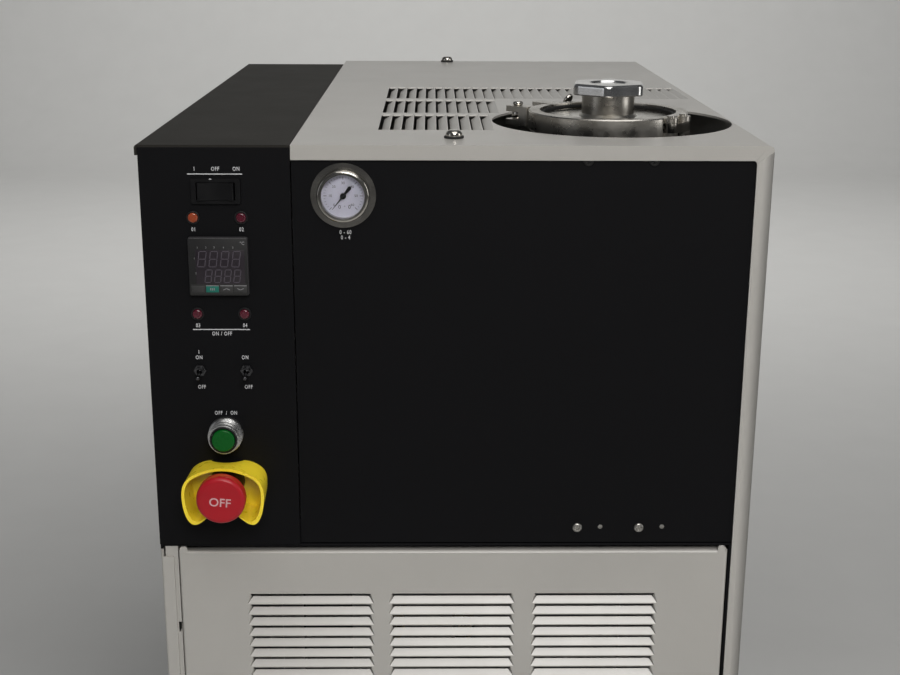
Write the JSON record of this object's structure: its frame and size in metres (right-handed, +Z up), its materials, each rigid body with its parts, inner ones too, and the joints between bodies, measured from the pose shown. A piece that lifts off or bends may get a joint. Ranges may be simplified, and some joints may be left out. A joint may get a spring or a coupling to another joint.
{
  "type": "water chiller",
  "caption": "Packaged water chiller in a sheet steel cabinet with a side control box, a louvred lower door, a pressure gauge and a clamped reservoir lid with a filler cap.",
  "frame": {"origin": "on the floor under the middle of the overall footprint", "axes": "+Z up, the control panel and gauge face -Y, +X to the right seen from the front"},
  "size_m": [0.5104, 0.81, 1.0506],
  "materials": {
    "cabinet_grey": "fine textured powder coat, satin",
    "cabinet_black": "fine textured powder coat, satin",
    "frame_black": "matt black paint",
    "stainless": "polished stainless steel, lightly stained",
    "chrome": "bright chrome plate",
    "zinc": "zinc plated steel",
    "brass": "turned brass",
    "foot_rubber": "black rubber",
    "gasket_rubber": "black rubber",
    "control_plastic": "black moulded plastic",
    "controller_case": "dark grey moulded plastic",
    "lamp_orange": "orange-red lens",
    "lamp_red": "dark red lens",
    "button_green": "green lens",
    "button_red": "red moulded plastic",
    "guard_yellow": "yellow moulded plastic",
    "dial_white": "printed white enamel",
    "needle_black": "black",
    "gauge_glass": "clear window"
  },
  "bodies": {
    "cabinet": {"base_frame": "frame_black", "left_side_panel": "cabinet_grey", "top_and_side_cover": "cabinet_grey", "back_panel": "cabinet_grey", "supply_port": "brass", "return_port": "brass", "cable_gland": "control_plastic", "control_box_side": "cabinet_black", "control_box_cover": "cabinet_black", "inner_wall": "frame_black", "control_panel": "cabinet_black", "front_panel": "cabinet_black", "front_rail": "frame_black", "left_post": "cabinet_grey", "right_post": "frame_black", "kick_plate": "cabinet_grey", "louvred_door": "cabinet_grey", "reservoir_tank": "stainless", "tank_bottom": "stainless", "tank_shoulder": "stainless", "tank_neck": "stainless", "tank_shelf": "frame_black", "tank_lid": "stainless", "clamp_front_half": "stainless", "clamp_back_half": "stainless", "clamp_hinge": "stainless", "clamp_bolt": "stainless", "filler_neck": "stainless", "rocker_bezel": "control_plastic", "level_lamp": "lamp_orange", "fault_lamp": "lamp_red", "high_pressure_lamp": "lamp_red", "low_pressure_lamp": "lamp_red", "temperature_controller": "controller_case", "heater_toggle_base": "zinc", "remote_toggle_base": "zinc", "power_button_bezel": "zinc", "emergency_collar": "control_plastic", "emergency_guard": "guard_yellow", "gauge_case": "stainless", "gauge_dial": "dial_white", "gauge_glass": "gauge_glass", "foot_front_left": "foot_rubber", "foot_front_right": "foot_rubber", "foot_back_left": "foot_rubber", "foot_back_right": "foot_rubber"},
    "rocker": {"selector_rocker": "control_plastic"},
    "heater_lever": {"heater_toggle": "zinc"},
    "remote_lever": {"remote_toggle": "zinc"},
    "power_cap": {"power_button": "button_green"},
    "emergency_head": {"emergency_button": "button_red"},
    "needle": {"gauge_needle": "needle_black"},
    "cap_seal": {"cap_gasket": "gasket_rubber"},
    "cap": {"filler_cap": "chrome"}
  },
  "joints": [
    {"name": "rocker_tilt", "type": "hinge", "parent": "cabinet", "child": "rocker", "pos_m": [-0.1916, -0.354, 0.979], "axis": [0, 0, 1], "range_deg": [-9, 9]},
    {"name": "heater_toggle_throw", "type": "hinge", "parent": "cabinet", "child": "heater_lever", "pos_m": [-0.2109, -0.359, 0.8287], "axis": [-1, 0, 0], "range_deg": [0, 26]},
    {"name": "remote_toggle_throw", "type": "hinge", "parent": "cabinet", "child": "remote_lever", "pos_m": [-0.1723, -0.359, 0.8287], "axis": [-1, 0, 0], "range_deg": [0, 26]},
    {"name": "power_press", "type": "slide", "parent": "cabinet", "child": "power_cap", "axis": [0, 1, 0], "range_m": [0, 0.003], "stiffness_N_per_m": 900},
    {"name": "emergency_press", "type": "slide", "parent": "cabinet", "child": "emergency_head", "axis": [0, 1, 0], "range_m": [0, 0.006]},
    {"name": "needle_sweep", "type": "hinge", "parent": "cabinet", "child": "needle", "pos_m": [-0.0898, -0.357, 0.9754], "axis": [0, 1, 0], "range_deg": [0, 270]},
    {"name": "cap_lift", "type": "slide", "parent": "cabinet", "child": "cap_seal", "axis": [0, 0, 1], "range_m": [0, 0.06]},
    {"name": "cap_turn", "type": "hinge", "parent": "cap_seal", "child": "cap", "pos_m": [0.1397, -0.205, 1.045], "axis": [0, 0, 1], "range_deg": [0, 90]}
  ]
}
